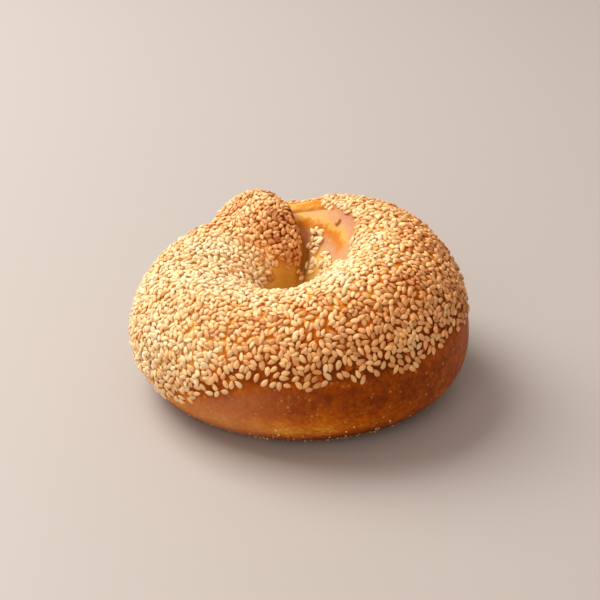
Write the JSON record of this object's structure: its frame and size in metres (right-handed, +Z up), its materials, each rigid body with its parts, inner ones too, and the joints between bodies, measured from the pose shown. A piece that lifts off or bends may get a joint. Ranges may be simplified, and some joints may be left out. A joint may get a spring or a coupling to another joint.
{
  "type": "sesame bagel",
  "caption": "Ring-shaped bread roll of hand-rolled dough with overlapping ends, a narrow hole and a sesame seed topping.",
  "frame": {"origin": "on the surface it rests on, under the middle of its bounding box", "axes": "+Z up through the ring's hole, front towards -Y, the dough's overlapping ends at the back towards +Y, the thicker side of the ring towards +X"},
  "size_m": [0.1016, 0.097, 0.0484],
  "materials": {
    "crust": "satin",
    "sesame": "satin"
  },
  "bodies": {
    "root": {"bagel": "crust"}
  },
  "joints": []
}
